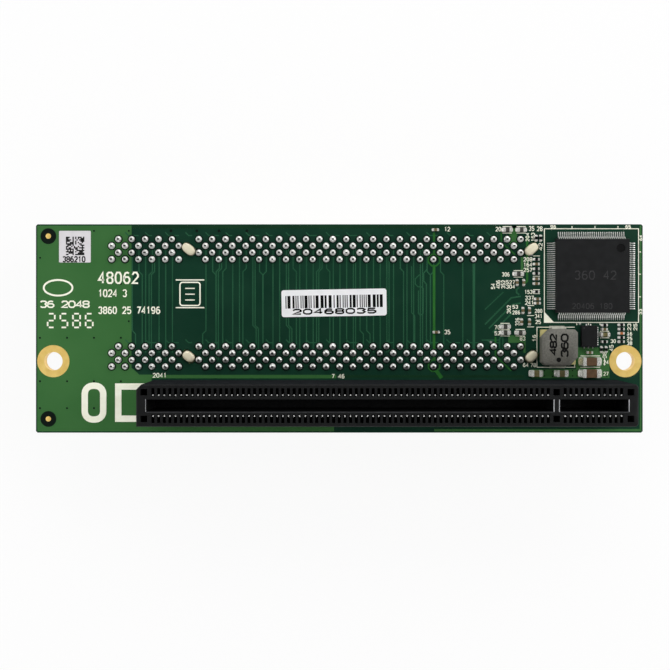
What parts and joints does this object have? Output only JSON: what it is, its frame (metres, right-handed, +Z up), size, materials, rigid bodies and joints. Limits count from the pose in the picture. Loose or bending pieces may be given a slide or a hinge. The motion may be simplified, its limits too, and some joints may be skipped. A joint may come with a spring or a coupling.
{
  "type": "pcie riser card",
  "caption": "Riser circuit board with one long keyed card slot on its front, two shorter keyed card slots on its back, a bridge chip and its supply parts, and two plated screw holes.",
  "frame": {"origin": "Centre of the board in X and Y, on the plane of the mating faces of the two back slots, which the part stands on.", "axes": "+X runs along the board towards the bridge chip, +Y across it from the long slot's edge to the chip's edge, +Z up from the back slots through the board to the long slot."},
  "size_m": [0.115, 0.0396, 0.0283],
  "materials": {
    "board_laminate": "green solder mask over glass-fibre laminate, semi-gloss",
    "gold_plating": "thin bright gold plating",
    "tin_metal": "tinned metal, bright",
    "contact_metal": "plated spring metal, bright",
    "black_moulding": "moulded black plastic, fine matt grain",
    "ivory_moulding": "moulded ivory plastic, matt",
    "chip_moulding": "moulded epoxy, matt",
    "inductor_moulding": "pressed iron powder, matt grey",
    "capacitor_ceramic": "brown ceramic, dull",
    "resistor_ceramic": "black glaze with bright ends",
    "pale_ceramic": "pale ceramic with bright ends",
    "orange_ceramic": "orange ceramic with bright ends",
    "label_paper": "smooth white label stock"
  },
  "bodies": {
    "root": {"circuit_board": "board_laminate", "screw_hole_platings": "gold_plating", "back_slot_housing_upper": "ivory_moulding", "back_slot_housing_lower": "ivory_moulding", "back_slot_tails_upper": "tin_metal", "back_slot_tails_lower": "tin_metal", "long_slot_housing": "black_moulding", "long_slot_contacts_upper": "contact_metal", "long_slot_contacts_lower": "contact_metal", "bridge_chip_body": "chip_moulding", "bridge_chip_leads": "tin_metal", "inductor_core": "inductor_moulding", "inductor_clips": "tin_metal", "regulator_body": "chip_moulding", "regulator_pads": "tin_metal", "large_capacitor_upper_body": "capacitor_ceramic", "large_capacitor_upper_ends": "tin_metal", "large_capacitor_lower_body": "capacitor_ceramic", "large_capacitor_lower_ends": "tin_metal", "middle_capacitor_left_body": "pale_ceramic", "middle_capacitor_left_ends": "tin_metal", "middle_capacitor_right_body": "pale_ceramic", "middle_capacitor_right_ends": "tin_metal", "resistors": "resistor_ceramic", "tiny_capacitors": "pale_ceramic", "orange_blocks": "orange_ceramic", "small_capacitors": "pale_ceramic", "beads": "pale_ceramic", "square_label": "label_paper", "bar_label": "label_paper"}
  },
  "joints": []
}
